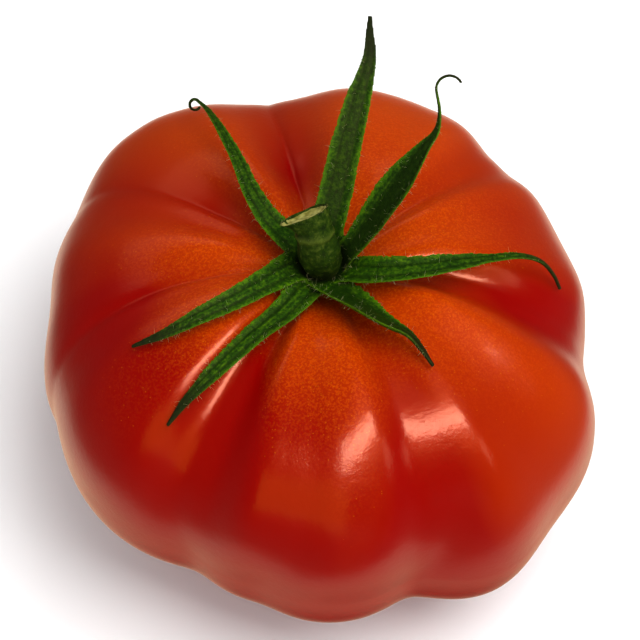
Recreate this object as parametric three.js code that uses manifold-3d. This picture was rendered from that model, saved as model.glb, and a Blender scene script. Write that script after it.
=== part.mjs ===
// A ribbed beefsteak tomato as picked, with its calyx of seven sepals and a cut stub of stem.
// Millimetres, +Z up. The tomato stands on its flattened blossom end at z = 0.
// Azimuths are in degrees round the stem axis: 0 is +X, 90 is +Y, and -Y is the front.

import * as THREE from 'three';
import Module from 'manifold-3d';

// Body of the fruit: a squarish oval, higher above its widest line than it is deep below it.
const MEAN_RADIUS = 50;
const TOP_RISE = 32;
const BASE_DROP = 29;
const TOP_SQUARENESS = 2.35;
const BASE_SQUARENESS = 2.15;
const OVAL = { share: 0.053, azimuth: 119 };
const OFFSET = { share: 0.043, azimuth: 110 };
const STEM_HOLLOW = { depth: 6, radius: 13 };
const BLOSSOM_HOLLOW = { depth: 2.6, radius: 8.5 };
const FLATTENED = 1.5;

// Furrows between the lobes: azimuth at the widest line, drift of the azimuth by the stem,
// half-width in degrees, softness of the crease, and depth at shoulder, widest line and base.
const FURROWS = [
  { azimuth: 356, drift: -1, width: 13, soft: 0.5, shoulder: 4.0, widest: 3.6, base: 2.2 },
  { azimuth: 322, drift: 6, width: 10, soft: 0.9, shoulder: 1.5, widest: 0.3, base: 0.2 },
  { azimuth: 289, drift: 2, width: 8.5, soft: 0.8, shoulder: 5.0, widest: 4.7, base: 2.8 },
  { azimuth: 257, drift: 9, width: 7.5, soft: 0.9, shoulder: 2.0, widest: 1.8, base: 1.1 },
  { azimuth: 240.5, drift: 1, width: 8.5, soft: 0.7, shoulder: 3.8, widest: 3.4, base: 2.0 },
  { azimuth: 192, drift: -6, width: 8, soft: 0.6, shoulder: 1.7, widest: 1.5, base: 0.9 },
  { azimuth: 154, drift: 4, width: 9, soft: 0.8, shoulder: 3.2, widest: 2.8, base: 1.7 },
  { azimuth: 122, drift: 13, width: 7, soft: 0.8, shoulder: 1.6, widest: 0.5, base: 0.3 },
  { azimuth: 100.5, drift: 0, width: 13, soft: 0.4, shoulder: 4.8, widest: 4.3, base: 2.6 },
  { azimuth: 73.5, drift: -6, width: 10, soft: 0.5, shoulder: 1.6, widest: 0.2, base: 0.1 },
  { azimuth: 48.5, drift: -8, width: 6, soft: 0.6, shoulder: 2.3, widest: 2.0, base: 1.2 },
];

// How far each lobe swells beyond the even oval, from one azimuth to the next.
const SWELLS = [
  { from: -4, to: 48.5, rise: -0.9 },
  { from: 48.5, to: 100.5, rise: 0.8 },
  { from: 100.5, to: 154, rise: 0.7 },
  { from: 154, to: 192, rise: -1.9 },
  { from: 192, to: 240.5, rise: 0.8 },
  { from: 257, to: 289, rise: -0.1 },
  { from: 289, to: 322, rise: 1.6 },
  { from: 322, to: 356, rise: 0.9 },
];

// Sepals: stations of distance from the stem axis, azimuth, height over the skin and width.
// A curl goes on from the last station as an arc of that radius, turning counterclockwise as
// seen from the front and above.
const ROOT = { distance: 3, lift: 1.6 };
const SEPALS = [
  {
    name: 'back_left',
    stations: [[5, 142, 2.8, 3.6], [10.4, 138, 3.4, 3.2], [16.2, 132, 3.8, 2.8], [22.6, 127, 4.2, 2.3],
      [30, 124, 4.8, 1.7], [36.8, 122, 5.4, 1.0], [39.8, 122, 6.0, 0.8]],
    curl: { radius: 1.3, turn: 290 },
  },
  {
    name: 'back_erect',
    stations: [[5.7, 80, 4.2, 5.2], [10.7, 76, 7.6, 5.4], [15.7, 75, 11.7, 5.0], [21.5, 74, 16.2, 4.2],
      [27.8, 74, 20.5, 2.4], [32, 76, 23.4, 1.4], [34.8, 77, 25.1, 0.8]],
  },
  {
    name: 'back_right',
    stations: [[4.6, 12, 3.8, 4.6], [7.7, 25, 6.3, 5.2], [11.7, 30, 9.4, 5.6], [15.7, 32, 12.5, 5.0],
      [19.9, 34, 15.9, 3.4], [23.1, 37, 18.3, 1.6], [25, 41, 20.9, 0.9], [26.4, 46, 23.2, 0.8]],
    curl: { radius: 2.1, turn: -165 },
  },
  {
    name: 'right',
    stations: [[5.4, 333, 2.6, 4.4], [10.8, 339, 3.2, 4.2], [16.2, 347, 4.2, 3.8], [21.6, 355, 5.0, 2.8],
      [27.2, 359, 5.6, 1.9], [32.3, 3, 5.7, 1.3], [35.9, 5, 4.6, 1.0], [38.1, 5, 3.0, 0.9],
      [39.3, 4, 1.3, 0.8]],
  },
  {
    name: 'front_right',
    stations: [[5.6, 281, 2.6, 4.2], [10.8, 294, 3.6, 4.2], [15.6, 301, 4.2, 3.8], [19, 306, 3.8, 3.2],
      [21.6, 309, 3.0, 2.4], [24.5, 310, 2.0, 1.5], [27.4, 310, 1.2, 0.8]],
    roll: 35,
  },
  {
    name: 'front_left',
    stations: [[6, 245, 2.6, 4.4], [13, 239, 2.8, 4.2], [19.7, 234, 2.8, 3.8], [27, 231, 2.4, 3.0],
      [32.2, 229, 1.8, 1.8], [36.2, 228, 1.2, 0.8]],
  },
  {
    name: 'left',
    stations: [[5, 208, 2.6, 4.4], [10.4, 216, 2.6, 4.2], [17.4, 217, 2.4, 3.7], [23.4, 214, 2.0, 3.0],
      [29, 210, 1.6, 1.8], [34, 206, 1.2, 0.8]],
  },
];
const SEPAL_MIDDLE_THICKNESS = 1.0;
const SEPAL_EDGE_THICKNESS = 0.62;
const GUTTER_SHARE = 0.16;
const CROWN = { radius: 5.2, rise: 2.6, rim: 1.2 };
const CLEAR_OF_SKIN = 0.4;
const CLEAR_OF_STUB = 0.3;

// Stem stub: places of its bent middle line with the radius there, up to the slanting cut.
const STUB = [
  [0, -0.4, 0.3, 2.9],
  [-0.2, -0.9, 3.0, 2.9],
  [-0.8, -1.1, 6.0, 3.3],
  [-1.6, -0.5, 9.2, 3.9],
  [-2.5, 1.0, 11.8, 4.1],
];

// Fineness of the faceted surfaces.
const FRUIT_SIDES = 96;
const FRUIT_RINGS = 32;
const POLE_CROWDING = 0.19;
const SEPAL_STEP = 1.7;
const CURL_STEP = 0.9;
const SEPAL_ACROSS = 4;
const CROWN_SIDES = 28;
const STUB_SIDES = 16;
const STUB_STEPS = 9;

const SKIN = new THREE.MeshStandardMaterial({ color: 0xb81c0c, roughness: 0.28, metalness: 0 });
const LEAF = new THREE.MeshStandardMaterial({ color: 0x2c5a14, roughness: 0.7, metalness: 0 });
const STEM = new THREE.MeshStandardMaterial({ color: 0x4a6422, roughness: 0.75, metalness: 0 });

// Direction from the front and above, which the curls turn round.
const CURL_AXIS = new THREE.Vector3(0, -0.56, 0.83).normalize();

const radians = THREE.MathUtils.degToRad;
const wasm = await Module();
wasm.setup();

function ease(x) {
  return THREE.MathUtils.smoothstep(x, 0, 1);
}

function degreesApart(a, b) {
  return THREE.MathUtils.euclideanModulo(a - b + 180, 360) - 180;
}

// Depth of all furrows at a point. Up is 0 on the widest line and 1 at the stem, down is 1
// at the blossom end.
function furrowDepth(up, down, azimuth) {
  return FURROWS.reduce((sum, furrow) => {
    const above = furrow.widest + (furrow.shoulder - furrow.widest) * ease(up / 0.55);
    const below = furrow.widest + (furrow.base - furrow.widest) * ease(down / 0.6);
    const depth = down > 0
      ? below * (1 - ease((down - 0.42) / 0.44))
      : above * (1 - ease((up - 0.72) / 0.26));
    const aside = degreesApart(azimuth, furrow.azimuth + furrow.drift * up);
    const blunt = furrow.soft * furrow.width;
    return sum + depth * Math.exp(-(Math.hypot(aside, blunt) - blunt) / furrow.width);
  }, 0);
}

function lobeSwell(azimuth) {
  return SWELLS.reduce((sum, lobe) => {
    const along = THREE.MathUtils.euclideanModulo(azimuth - lobe.from, 360) / (lobe.to - lobe.from);
    return along < 1 ? sum + lobe.rise * Math.sin(Math.PI * along) ** 2 : sum;
  }, 0);
}

// Distance from the stem axis and height of the skin. Climb runs from 0 at the blossom end
// to pi at the stem.
function skinAt(climb, azimuth) {
  const above = climb > Math.PI / 2;
  const n = above ? TOP_SQUARENESS : BASE_SQUARENESS;
  const rise = above ? TOP_RISE : BASE_DROP;
  const across = Math.sin(climb);
  const height = -Math.cos(climb);
  const scale = (Math.abs(across) ** n + Math.abs(height) ** n) ** (-1 / n);
  const reach = MEAN_RADIUS * (1
    + OVAL.share * Math.cos(2 * radians(azimuth - OVAL.azimuth))
    + OFFSET.share * Math.cos(radians(azimuth - OFFSET.azimuth)));
  const outward = new THREE.Vector2(
    Math.abs(across * scale) ** (n - 1) / reach,
    Math.sign(height) * Math.abs(height * scale) ** (n - 1) / rise,
  ).normalize();
  const up = Math.max(0, climb / (Math.PI / 2) - 1);
  const down = Math.max(0, 1 - climb / (Math.PI / 2));
  const sunk = furrowDepth(up, down, azimuth) - lobeSwell(azimuth) * across;
  const distance = reach * across * scale - sunk * outward.x;
  const hollow = above ? STEM_HOLLOW : BLOSSOM_HOLLOW;
  const dip = hollow.depth * Math.exp(-((distance / hollow.radius) ** 2));
  const z = rise * height * scale - sunk * outward.y + (above ? -dip : dip);
  return { distance, z: Math.max(0, z + BASE_DROP - FLATTENED) };
}

// Height of the upper skin at a distance from the stem axis.
function skinHeight(distance, azimuth) {
  let low = Math.PI / 2;
  let high = Math.PI;
  for (let i = 0; i < 24; i += 1) {
    const middle = (low + high) / 2;
    if (skinAt(middle, azimuth).distance > distance) low = middle;
    else high = middle;
  }
  return skinAt(high, azimuth).z;
}

function onAzimuth(distance, azimuth, z) {
  return new THREE.Vector3(
    distance * Math.cos(radians(azimuth)),
    distance * Math.sin(radians(azimuth)),
    z,
  );
}

function meshGeometry(points, triangles) {
  const geometry = new THREE.BufferGeometry();
  geometry.setAttribute('position', new THREE.Float32BufferAttribute(points.flatMap((p) => p.toArray()), 3));
  geometry.setIndex(triangles.flat());
  return geometry;
}

// A closed skin over rings of equal length, with its ends closed by one point each.
function closedRings(rings, start, end) {
  const sides = rings[0].length;
  const points = [start, ...rings.flat(), end];
  const last = points.length - 1;
  const index = (ring, side) => 1 + ring * sides + (side % sides);
  const triangles = [];
  for (let side = 0; side < sides; side += 1) {
    triangles.push([0, index(0, side + 1), index(0, side)]);
    triangles.push([last, index(rings.length - 1, side), index(rings.length - 1, side + 1)]);
    for (let ring = 0; ring < rings.length - 1; ring += 1) {
      const [a, b] = [index(ring, side), index(ring, side + 1)];
      const [c, d] = [index(ring + 1, side), index(ring + 1, side + 1)];
      triangles.push([a, b, d], [a, d, c]);
    }
  }
  return meshGeometry(points, triangles);
}

function fruitGeometry() {
  const rings = [];
  for (let ring = 1; ring < FRUIT_RINGS; ring += 1) {
    const even = ring / FRUIT_RINGS;
    const climb = Math.PI * even - POLE_CROWDING * Math.sin(2 * Math.PI * even);
    rings.push(Array.from({ length: FRUIT_SIDES }, (_, side) => {
      const azimuth = (360 * side) / FRUIT_SIDES;
      const { distance, z } = skinAt(climb, azimuth);
      return onAzimuth(distance, azimuth, z);
    }));
  }
  const bottom = new THREE.Vector3(0, 0, skinAt(0, 0).z);
  const top = new THREE.Vector3(0, 0, skinAt(Math.PI, 0).z);
  return closedRings(rings, bottom, top);
}

// Even stations of place and width along a sepal, from inside the crown to the tip.
function sepalLine({ stations, curl }) {
  const [, firstAzimuth, , firstWidth] = stations[0];
  const all = [[ROOT.distance, firstAzimuth, ROOT.lift, firstWidth], ...stations];
  const places = all.map(([distance, azimuth, lift]) => (
    onAzimuth(distance, azimuth, skinHeight(distance, azimuth) + lift)));
  const curve = new THREE.CatmullRomCurve3(places, false, 'centripetal');
  const steps = Math.round(curve.getLength() / SEPAL_STEP);
  const line = [];
  for (let step = 0; step <= steps; step += 1) {
    const t = curve.getUtoTmapping(step / steps) * (all.length - 1);
    const i = Math.min(Math.floor(t), all.length - 2);
    line.push({
      place: curve.getPointAt(step / steps),
      width: THREE.MathUtils.lerp(all[i][3], all[i + 1][3], t - i),
    });
  }
  return curl ? [...line, ...curlLine(curl, line.at(-1), curve.getTangentAt(1))] : line;
}

function curlLine({ radius, turn }, { place, width }, heading) {
  const count = Math.ceil((radius * radians(Math.abs(turn))) / CURL_STEP);
  const bend = radians(turn) / count;
  const chord = 2 * radius * Math.sin(Math.abs(bend) / 2);
  let at = place;
  return Array.from({ length: count }, (_, i) => {
    const direction = heading.clone().applyAxisAngle(CURL_AXIS, bend * (i + 0.5));
    at = at.clone().addScaledVector(direction, chord);
    return { place: at, width };
  });
}

// Frames carried along a line without twist, each with its across and its upward direction.
function framesAlong(places, across) {
  let side = across.clone();
  let before = null;
  return places.map((place, i) => {
    const heading = places[Math.min(i + 1, places.length - 1)].clone()
      .sub(places[Math.max(i - 1, 0)]).normalize();
    if (before) side.applyQuaternion(new THREE.Quaternion().setFromUnitVectors(before, heading));
    side = side.clone().addScaledVector(heading, -side.dot(heading)).normalize();
    before = heading;
    return { place, side: side.clone(), up: side.clone().cross(heading).normalize() };
  });
}

// Outline of a sepal's cross-section: a shallow gutter, thinner at its edges.
function gutterOutline(width) {
  const upper = [];
  const lower = [];
  for (let i = 0; i <= SEPAL_ACROSS; i += 1) {
    const s = (2 * i) / SEPAL_ACROSS - 1;
    const lift = GUTTER_SHARE * width * s * s;
    const half = THREE.MathUtils.lerp(SEPAL_MIDDLE_THICKNESS, SEPAL_EDGE_THICKNESS, s * s) / 2;
    upper.push([(s * width) / 2, lift + half]);
    lower.unshift([(s * width) / 2, lift - half]);
  }
  return [...upper, ...lower];
}

// How far a section must rise to stay clear of the skin.
function riseToClear(section) {
  return Math.max(0, ...section.map((point) => {
    const distance = Math.hypot(point.x, point.y);
    const azimuth = THREE.MathUtils.radToDeg(Math.atan2(point.y, point.x));
    if (distance > MEAN_RADIUS * 0.85) return 0;
    return skinHeight(distance, azimuth) + CLEAR_OF_SKIN - point.z;
  }));
}

function sepalGeometry(sepal) {
  const line = sepalLine(sepal);
  const azimuth = sepal.stations[0][1];
  const frames = framesAlong(line.map(({ place }) => place), onAzimuth(-1, azimuth + 90, 0));
  const rings = frames.map(({ place, side, up }, i) => {
    const roll = radians(sepal.roll ?? 0) * ease((2 * i) / frames.length);
    const section = gutterOutline(line[i].width).map(([x, y]) => place.clone()
      .addScaledVector(side, x * Math.cos(roll) - y * Math.sin(roll))
      .addScaledVector(up, x * Math.sin(roll) + y * Math.cos(roll)));
    const rise = riseToClear(section);
    section.forEach((point) => { point.z += rise; });
    return section;
  });
  const middle = (ring) => ring.reduce((sum, p) => sum.add(p), new THREE.Vector3()).divideScalar(ring.length);
  return closedRings(rings, middle(rings[0]), middle(rings.at(-1)));
}

// The small crown that the sepals grow from. It lies on the skin round the stem.
function crownGeometry() {
  const underside = (distance) => CLEAR_OF_SKIN + Math.max(...Array.from({ length: 36 }, (_, i) => (
    skinHeight(distance, i * 10))));
  const ringAt = (distance, z) => Array.from({ length: CROWN_SIDES }, (_, side) => (
    onAzimuth(distance, (360 * side) / CROWN_SIDES, z)));
  const base = underside(0);
  const rings = [
    ringAt(CROWN.radius * 0.5, underside(CROWN.radius * 0.5)),
    ringAt(CROWN.radius, underside(CROWN.radius)),
    ringAt(CROWN.radius, underside(CROWN.radius) + CROWN.rim),
    ringAt(CROWN.radius * 0.75, base + CROWN.rise),
  ];
  return closedRings(rings, onAzimuth(0, 0, base), onAzimuth(0, 0, base + CROWN.rise));
}

// The stub, or with a margin the room that it needs.
function stubGeometry(margin = 0) {
  const foot = skinHeight(0, 0) + CLEAR_OF_SKIN + CROWN.rise;
  const curve = new THREE.CatmullRomCurve3(STUB.map(([x, y, z]) => new THREE.Vector3(x, y, z + foot)));
  const steps = Array.from({ length: STUB_STEPS }, (_, i) => i / (STUB_STEPS - 1));
  const places = steps.map((t) => curve.getPoint(t));
  const frames = framesAlong(places, new THREE.Vector3(1, 0, 0));
  const rings = frames.map(({ place, side, up }, i) => {
    const t = steps[i] * (STUB.length - 1);
    const k = Math.min(Math.floor(t), STUB.length - 2);
    const radius = margin + THREE.MathUtils.lerp(STUB[k][3], STUB[k + 1][3], t - k);
    return Array.from({ length: STUB_SIDES }, (_, j) => {
      const angle = (-2 * Math.PI * j) / STUB_SIDES;
      return place.clone()
        .addScaledVector(side, radius * Math.cos(angle))
        .addScaledVector(up, radius * Math.sin(angle));
    });
  });
  const heel = new THREE.Vector3(STUB[0][0], STUB[0][1], foot + STUB[0][2] - margin);
  rings[0].forEach((point) => { point.z = heel.z; });
  return closedRings(rings, heel, places.at(-1));
}

function toSolid(geometry) {
  return new wasm.Manifold(new wasm.Mesh({
    numProp: 3,
    vertProperties: new Float32Array(geometry.getAttribute('position').array),
    triVerts: new Uint32Array(geometry.getIndex().array),
  }));
}

// One solid of several pieces, with the room of its neighbour cut out.
function joinedRound(room, geometries) {
  const { vertProperties, triVerts, numProp } = geometries.map(toSolid)
    .reduce((whole, piece) => whole.add(piece))
    .subtract(toSolid(room))
    .getMesh();
  const points = Array.from({ length: vertProperties.length / numProp }, (_, i) => (
    new THREE.Vector3().fromArray(vertProperties, i * numProp)));
  return meshGeometry(points, [Array.from(triVerts)]);
}

function named(name, geometry, material) {
  const mesh = new THREE.Mesh(geometry, material);
  mesh.name = name;
  return mesh;
}

const tomato = new THREE.Group();
tomato.add(named('fruit', fruitGeometry(), SKIN));
const calyxPieces = [crownGeometry(), ...SEPALS.map(sepalGeometry)];
tomato.add(named('calyx', joinedRound(stubGeometry(CLEAR_OF_STUB), calyxPieces), LEAF));
tomato.add(named('stem_stub', stubGeometry(), STEM));

// The origin lies on the surface under the middle of the whole tomato.
const middle = new THREE.Box3().setFromObject(tomato).getCenter(new THREE.Vector3());
tomato.position.set(-middle.x, -middle.y, 0);

export default tomato;
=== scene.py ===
"""A ribbed beefsteak tomato with its calyx, cut stem stub and fine hairs, in soft studio light."""

import bisect
import math
import random

import bmesh
import bpy
from bpy.props import FloatProperty, FloatVectorProperty, IntProperty, PointerProperty
from mathutils import Matrix, Vector, kdtree, noise


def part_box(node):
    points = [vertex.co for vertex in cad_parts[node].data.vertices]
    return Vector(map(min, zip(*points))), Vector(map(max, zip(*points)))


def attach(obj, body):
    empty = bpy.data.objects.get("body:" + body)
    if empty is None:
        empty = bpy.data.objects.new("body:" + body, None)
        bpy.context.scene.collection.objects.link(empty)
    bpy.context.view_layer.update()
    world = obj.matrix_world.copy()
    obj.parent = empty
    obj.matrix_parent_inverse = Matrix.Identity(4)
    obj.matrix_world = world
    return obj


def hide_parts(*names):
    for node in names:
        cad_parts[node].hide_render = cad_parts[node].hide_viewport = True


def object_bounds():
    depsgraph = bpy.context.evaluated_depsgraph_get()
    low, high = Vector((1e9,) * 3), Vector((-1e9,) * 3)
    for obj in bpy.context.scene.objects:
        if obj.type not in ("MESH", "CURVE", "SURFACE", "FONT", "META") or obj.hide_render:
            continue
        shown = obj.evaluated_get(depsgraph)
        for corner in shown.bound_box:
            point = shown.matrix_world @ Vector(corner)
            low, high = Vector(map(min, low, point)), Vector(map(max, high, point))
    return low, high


bl_info = {
    "name": "Beefsteak Tomato",
    "version": (1, 0, 0),
    "blender": (4, 5, 0),
    "location": "3D View > Sidebar > Tomato",
    "description": "Builds a ribbed tomato with a curling calyx, a cut stem stub and fine hairs",
    "category": "Add Mesh",
}

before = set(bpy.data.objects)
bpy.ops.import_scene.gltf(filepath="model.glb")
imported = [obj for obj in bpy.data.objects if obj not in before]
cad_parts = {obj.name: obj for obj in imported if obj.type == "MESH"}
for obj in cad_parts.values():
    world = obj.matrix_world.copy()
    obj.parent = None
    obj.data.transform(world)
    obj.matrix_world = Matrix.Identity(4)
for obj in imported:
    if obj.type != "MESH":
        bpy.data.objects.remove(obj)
CAD_BOX = [list(corner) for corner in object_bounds()]
MM = 0.001
SPLINE_STEPS = 60
HALVINGS = 22

# The fruit's own form, in millimetres round the stem axis. Azimuth 0 is +X and 90 is +Y.
MEAN_RADIUS = 50.0
TOP_RISE = 32.0
BASE_DROP = 29.0
TOP_SQUARENESS = 2.35
BASE_SQUARENESS = 2.15
OVAL_SHARE, OVAL_AZIMUTH = 0.053, 119.0
OFFSET_SHARE, OFFSET_AZIMUTH = 0.043, 110.0
STEM_HOLLOW_DEPTH, STEM_HOLLOW_RADIUS = 6.0, 13.0
BLOSSOM_HOLLOW_DEPTH, BLOSSOM_HOLLOW_RADIUS = 2.6, 8.5
FLATTENED = 1.5
FLAT_BLEND = 0.25

# Furrows: azimuth at the widest line, drift by the stem and bow between them, half-width in
# degrees and how much of it is lost on the shoulder, softness of the crease, roundness of the
# banks, and depth at the shoulder, the widest line and the base.
FURROWS = (
    (356.0, -1, -4.0, 11.0, 0.35, 0.5, 1.0, 3.2, 3.7, 2.2),
    (324.0, -2, -3.0, 8.0, 0.0, 0.8, 1.0, 0.9, 0.3, 0.2),
    (289.0, 9, 4.0, 9.0, 0.2, 0.5, 1.0, 2.3, 4.7, 2.8),
    (257.0, 2, 6.0, 6.0, 0.2, 0.9, 1.0, 0.4, 1.8, 1.1),
    (240.5, -3, 0.0, 8.5, 0.1, 0.65, 1.0, 3.5, 3.4, 2.0),
    (194.0, -9, 0.0, 8.0, 0.0, 0.6, 1.0, 1.2, 1.2, 0.9),
    (154.0, -2, -4.0, 9.0, 0.0, 0.8, 1.0, 3.4, 2.65, 1.7),
    (122.0, 13, 0.0, 7.0, 0.0, 0.8, 1.0, 2.2, 0.5, 0.3),
    (100.5, 3, 0.5, 13.0, 0.1, 0.4, 1.0, 4.5, 4.1, 2.6),
    (73.5, -6, 0.0, 10.0, 0.0, 0.5, 1.0, 0.8, 0.2, 0.1),
    (48.5, -8, 0.0, 6.0, 0.0, 0.6, 1.0, 2.3, 2.0, 1.2),
)

# Fine creases at the bottom of some furrows, in the same terms.
CREASES = (
    (194.0, -9, 0.0, 3.5, 0.0, 0.15, 0.0, 0.9, 0.2, 0.0),
    (154.0, -6, -5.0, 3.5, 0.0, 0.2, 0.0, 0.8, 0.0, 0.0),
    (100.5, 3, 0.5, 3.0, 0.0, 0.12, 0.0, 1.2, 0.0, 0.0),
)

# Where furrows change on the way from the widest line, 0, to the stem or the base, 1: shares over
# which one depth passes into the next, start and length of the stretch that fades them out, and
# where the shoulder's own width and roundness are reached. Past a number of widths aside, a furrow
# no longer counts.
BLEND_UP, BLEND_DOWN = 0.55, 0.6
FADE_UP, FADE_UP_LENGTH = 0.72, 0.26
FADE_DOWN, FADE_DOWN_LENGTH = 0.42, 0.44
SHOULDER_REACHED = 0.35
FURROW_REACH = 6

# Swellings on the shoulder: azimuth, place between widest line and stem, spreads and rise.
SHOULDER_SWELLINGS = (
    (284.0, 0.66, 14.0, 0.13, 1.0),
    (305.0, 0.60, 16.0, 0.14, 0.5),
    (231.0, 0.72, 12.0, 0.12, 0.5),
)

# Swell of each lobe between two azimuths.
SWELLS = (
    (-4.0, 48.5, -1.9),
    (48.5, 100.5, -0.3),
    (100.5, 154.0, 0.9),
    (154.0, 192.0, -2.65),
    (192.0, 240.5, 0.95),
    (289.0, 322.0, 1.75),
    (322.0, 356.0, 0.9),
)

# How orange the shoulder of each lobe stays: azimuth and share, from the deepest red at 0.
BLUSH = (
    (0, 0.2), (22, 0.25), (45, 0.6), (75, 0.8), (125, 0.9), (152, 0.65), (175, 0.1), (215, -0.05),
    (250, -0.05), (275, 0.0), (300, 0.25), (335, 0.4),
)

# Where the skin's orange and its specks start on the way up and how long they take to be full,
# how strong they are in the circle round the stem, and what a furrow takes from them.
ORANGE_FROM, ORANGE_LENGTH, ORANGE_AT_STEM = -0.1, 0.45, 0.55
SPECKS_FROM, SPECKS_LENGTH, SPECKS_AT_STEM = 0.15, 0.45, 0.9
FEWEST_SPECKS = 0.15
STEM_CIRCLE, STEM_CIRCLE_LENGTH = 0.5, 0.3
DEEP_FURROW, FURROW_REDNESS = 5.0, 0.55
SCAR_RADIUS = 1.2

# Sizes of the patterns in the materials, in millimetres.
RIPENING_PATCH, SKIN_DIMPLE = 45.0, 1.1
LEAF_MOTTLE, LEAF_FUZZ = 0.7, 0.45
BARK_MOTTLE, PITH_FIBRE = 1.2, 0.9

# Sepals: stations of distance from the stem axis, azimuth, height over the skin and width. A
# curl goes on as an arc of a radius and a turn, counterclockwise seen from front and above.
# Each sepal also has a roll and a share of painted shade on the upper face of its gutter, greatest
# on the sepals that rise or twist away from the light.
SEPALS = {
    "back_left": {"roll": 0, "deep": 0.35, "curl": (1.15, 300), "stations": (
        (5.0, 147, 2.6, 6.0), (10.4, 142, 3.2, 4.6), (16.2, 135, 3.8, 3.5), (22.6, 128, 4.2, 2.7),
        (30.0, 124, 4.8, 1.9), (36.8, 122, 5.4, 1.0), (39.8, 122, 6.0, 0.6))},
    "back_erect": {"roll": 0, "deep": 0.65, "curl": None, "stations": (
        (5.7, 80, 4.2, 5.8), (10.7, 76, 7.6, 5.8), (15.7, 75, 11.7, 5.3), (21.5, 74, 16.2, 4.4),
        (27.8, 74, 20.5, 2.4), (32.0, 76, 23.4, 1.4), (34.8, 77, 25.1, 0.7))},
    "back_right": {"roll": 0, "deep": 0.85, "curl": (2.1, -165), "stations": (
        (4.6, 10, 3.6, 5.6), (8.2, 21, 6.1, 7.0), (12.4, 27, 9.2, 8.4), (16.2, 30.5, 12.4, 7.2),
        (19.9, 34, 15.9, 3.8), (23.1, 37, 18.3, 1.5), (25.0, 41, 20.9, 0.7),
        (26.4, 46, 23.2, 0.5))},
    "right": {"roll": 0, "deep": 0.3, "curl": None, "stations": (
        (5.4, 330, 2.4, 6.2), (10.8, 336, 3.0, 6.4), (16.2, 346, 4.0, 5.5), (21.6, 354, 4.9, 4.1),
        (27.2, 358, 5.3, 2.2), (32.3, 1, 5.2, 1.5), (35.9, 2.5, 4.1, 1.2), (38.1, 2, 2.6, 0.9),
        (39.3, 1, 1.1, 0.6))},
    "front_right": {"roll": 22, "deep": 0.85, "curl": None, "stations": (
        (5.6, 280, 2.4, 6.6), (10.8, 295, 3.4, 8.0), (15.6, 301, 4.0, 6.8), (19.0, 305.5, 3.6, 4.8),
        (21.6, 309, 3.0, 2.8), (24.5, 310, 2.0, 1.8), (27.4, 310, 1.2, 0.6))},
    "front_left": {"roll": 0, "deep": 0.0, "curl": None, "stations": (
        (6.0, 248, 2.4, 6.6), (13.0, 240, 2.8, 5.0), (19.7, 234, 2.8, 4.2), (27.0, 231, 2.4, 3.3),
        (32.4, 229, 1.8, 2.0), (36.9, 228, 1.2, 0.6))},
    "left": {"roll": 0, "deep": 0.1, "curl": None, "stations": (
        (5.0, 203, 2.4, 6.2), (10.4, 214, 2.6, 5.0), (17.4, 216, 2.4, 4.1), (23.4, 213, 2.0, 3.2),
        (29.0, 210, 1.6, 1.9), (34.0, 206, 1.2, 0.6))},
}
ROOT_DISTANCE, ROOT_LIFT = 3.4, 1.2
# Reach of the painted shadow in the pit round the stem's foot, and the distance over which it
# fades.
PIT_RADIUS, PIT_BLEND = 3.9, 2.0
# Leaf layers: share of the way to the tip, place across the sepal, and painted shade.
LEAF_LAYERS = ("along", "across", "deep")
SEPAL_STEP, CURL_STEP = 0.45, 0.25
SEPAL_SIDES = 28
CLEAR_OF_SKIN = 0.25
SHOULDER_EDGE = 0.85 * MEAN_RADIUS
WIDTH_SMOOTHING = 3
CURL_TAPER = 0.995
CURL_AXIS = Vector((0.0, -0.56, 0.83)).normalized()

# Cross-section of a sepal: depth of its gutter as a share of its width, its two grooves, half
# its thickness at the rib and the edge, the width below which it gets finer and the share of its
# thickness that stays, and how far its edge and its width wander.
GUTTER_SHARE = 0.16
GROOVE_DEPTH, GROOVE_PLACE, GROOVE_SPREAD = 0.16, 0.42, 0.16
RIB_HALF, EDGE_HALF = 0.42, 0.2
FULL_WIDTH, FINEST_SHARE = 2.5, 0.75
EDGE_WANDER, WIDTH_WANDER = 0.32, 0.05
# Where the painted shade in a sepal's gutter stops towards its edges, and over what share it fades.
TROUGH_EDGE, TROUGH_FADE = 0.85, 0.3

# Crown: its reach, the lobes of its rim, its lift over the skin, half its thickness, and the
# moat pressed into it round the stem.
CROWN_SIDES, CROWN_RINGS = 64, 32
CROWN_REACH = 6.4
CROWN_LOBES, CROWN_LOBE_SHARE, CROWN_LOBE_TURN = 7, 0.10, 40
CROWN_LIFT, CROWN_HALF = 1.15, 1.35
MOAT_DEPTH, MOAT_DISTANCE, MOAT_SPREAD = 1.7, 3.6, 0.9

# Stem stub: middle line over the crown with the radius there, and the slant of its cut.
STUB_FOOT_LIFT = 2.2
STUB = (
    (0.0, -0.4, 0.0, 2.9),
    (-0.2, -0.8, 2.6, 3.3),
    (-0.6, -1.1, 5.6, 3.5),
    (-1.2, -0.7, 8.6, 3.0),
    (-1.5, 0.1, 10.4, 3.0),
    (-2.6, 1.0, 12.2, 3.8),
)
CUT_NORMAL = Vector((-0.38, 0.62, 0.68)).normalized()
STUB_SIDES, STUB_STEP = 72, 0.22

# Relief of the stub by the share of its length: its corky ring, the end that is shaped to the
# cut, the flare to the left there, a torn tooth, and the rings and depth of the sunken pith.
RING_SHARE, RING_SPREAD, RING_RISE, RING_WANDER = 0.72, 0.03, 0.3, 0.03
STUB_END, STUB_END_LENGTH = 0.8, 0.2
FLARE_SHARE, FLARE_LENGTH, FLARE_RISE = 0.86, 0.14, 0.8
TOOTH_RISE, TOOTH_TURN, TOOTH_SPREAD = 0.9, 1.1, 0.35
LONGEST_SLANT = 3.0
PITH_RINGS, PITH_DEPTH, PITH_JAG = 9, 0.75, 0.18
RING_CORK = 0.55

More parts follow.
